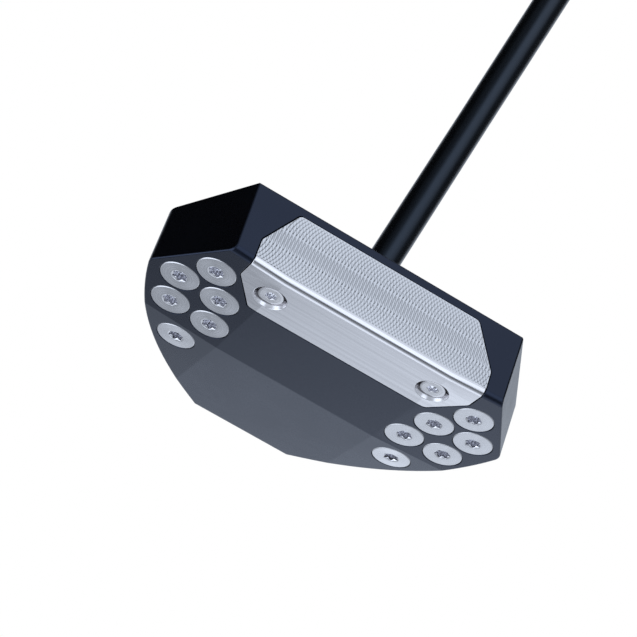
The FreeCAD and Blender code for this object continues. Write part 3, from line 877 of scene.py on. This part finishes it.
def make_world():
    """White to the camera, the studio to glossy surfaces, and an even light for the rest."""
    world = bpy.data.worlds.new("studio")
    bpy.context.scene.world = world
    world.use_nodes = True
    nodes = Nodes(world.node_tree)
    place = nodes.add("ShaderNodeTexCoord").outputs["Generated"]
    level = nodes.span(nodes.axes(place)[2], *SURROUND_TURN, *SURROUND_LEVELS)
    for azimuth, elevation, inner, outer, value in STUDIO:
        alike = nodes.number("DOT_PRODUCT", place, tuple(towards(azimuth, elevation)))
        ends, begins = math.cos(math.radians(outer)), math.cos(math.radians(inner))
        mask = nodes.span(alike, ends, begins, smooth=True)
        kept = nodes.math("MULTIPLY", level, nodes.math("SUBTRACT", 1.0, mask))
        level = nodes.math("ADD", kept, nodes.math("MULTIPLY", mask, value))
    path = nodes.add("ShaderNodeLightPath")
    glossy = path.outputs["Is Glossy Ray"]
    seen = nodes.math("MAXIMUM", path.outputs["Is Camera Ray"], path.outputs["Is Transmission Ray"])
    mirror = nodes.math("MULTIPLY", glossy, level)
    plain = nodes.math("SUBTRACT", 1.0, nodes.math("MAXIMUM", seen, glossy))
    strength = nodes.math("ADD", nodes.math("MAXIMUM", seen, mirror),
                          nodes.math("MULTIPLY", plain, PLAIN_LEVEL))
    sky = nodes.add("ShaderNodeBackground")
    nodes.fill(sky, {"Color": nodes.mix(glossy, WHITE, COOL_WHITE), "Strength": strength})
    output = nodes.add("ShaderNodeOutputWorld")
    nodes.put(output.inputs["Surface"], sky.outputs[0])


def soft_light(name, azimuth, elevation, distance, size, power):
    """A rectangular lamp that faces the head; reflections show the studio instead of it."""
    data = bpy.data.lights.new(name, "AREA")
    data.shape = "RECTANGLE"
    data.size, data.size_y = size
    data.energy = power
    lamp = bpy.data.objects.new(name, data)
    bpy.context.scene.collection.objects.link(lamp)
    direction = towards(azimuth, elevation)
    lamp.location = direction * distance
    lamp.rotation_mode = "QUATERNION"
    lamp.rotation_quaternion = direction.to_track_quat("Z", "Y")
    lamp.visible_camera = False
    lamp.visible_glossy = False


FLOOR_REACH = 20.0            # metres
FLOOR_HEIGHT = -2.4
FLOOR_STEPS = 9


def make_floor():
    """A large pale sheet well below the putter, under the low camera."""
    made, nodes, shader, place = material("pale_floor")
    cloud = nodes.noise(place, scale=0.7)
    nodes.fill(shader, {"Base Color": nodes.mix(cloud, FLOOR_LOW, FLOOR_HIGH), "Roughness": 0.9})
    mesh = bpy.data.meshes.new("floor")
    steps = np.linspace(-FLOOR_REACH, FLOOR_REACH, FLOOR_STEPS).tolist()
    mesh.from_pydata([(x, y, FLOOR_HEIGHT) for y in steps for x in steps], [],
                     grid_faces(FLOOR_STEPS, FLOOR_STEPS))
    mesh.materials.append(made)
    floor = bpy.data.objects.new("floor", mesh)
    bpy.context.scene.collection.objects.link(floor)
    floor.visible_glossy = False


CAMERA_SENSOR = 36.0                            # millimetres
CAMERA_LENS = 132.48
CAMERA_PLACE = (-0.16070, -0.51699, -0.33606)   # metres
CAMERA_TURN = (124.8629, -17.1704, -28.3627)    # degrees about X, Y and Z


def make_camera():
    """Low in front of the toe, looking up at the sole and the face."""
    data = bpy.data.cameras.new("camera")
    data.sensor_width = CAMERA_SENSOR
    data.lens = CAMERA_LENS
    data.clip_start, data.clip_end = 0.01, 60.0
    camera = bpy.data.objects.new("camera", data)
    bpy.context.scene.collection.objects.link(camera)
    turn = Euler([math.radians(angle) for angle in CAMERA_TURN], "XYZ").to_matrix().to_4x4()
    camera.matrix_world = Matrix.Translation(CAMERA_PLACE) @ turn
    bpy.context.scene.camera = camera


# ---------------------------------------------------------------- the whole
def main():
    make_camera()
    make_world()
    make_floor()
    soft_light("key", 170, 25, distance=1.5, size=(1.2, 0.9), power=5.0)
    soft_light("under", 160, -50, distance=1.4, size=(1.0, 1.0), power=3.0)
    soft_light("back", 30, 50, distance=1.8, size=(1.2, 1.0), power=4.0)
    make_head(anodised())
    make_insert(brushed_steel(), milled_steel())
    make_turned(
        turned_steel("steel_turned", STEEL_WEIGHT, pitch=1.1 * MM,
                     socket_radius=2.7 * MM, socket_height=0.4 * MM),
        turned_steel("screw_steel", STEEL_SCREW, pitch=0.8 * MM,
                     socket_radius=2.0 * MM, socket_height=0.3 * MM))
    make_shaft(black_gloss())
    make_grip(rubber())
    make_cap(painted("cap_plastic", (0.012, 0.0125, 0.014), (0.020, 0.0205, 0.022),
                     roughness=0.42, grain_scale=2200.0, grain_depth=0.03))
    white = painted("sight_paint", (0.78, 0.79, 0.80), (0.86, 0.87, 0.88),
                    roughness=0.38, grain_scale=1500.0, grain_depth=0.02)
    resin = painted("bond_resin", (0.03, 0.03, 0.032), (0.06, 0.058, 0.055),
                    roughness=0.35, grain_scale=1800.0, grain_depth=0.03)
    plug = painted("plug_plastic", (0.05, 0.05, 0.05), (0.08, 0.08, 0.08),
                   roughness=0.5, grain_scale=1800.0, grain_depth=0.03)
    tape = painted("grip_tape", (0.55, 0.50, 0.40), (0.66, 0.61, 0.50),
                   roughness=0.7, grain_scale=3000.0, grain_depth=0.04)
    dress("sight_line_front", white)
    dress("sight_line_rear", white)
    dress("shaft_bond", resin)
    dress("tip_plug", plug)
    dress("grip_tape", tape)


main()
scene = bpy.context.scene
scene.view_settings.view_transform = "Standard"
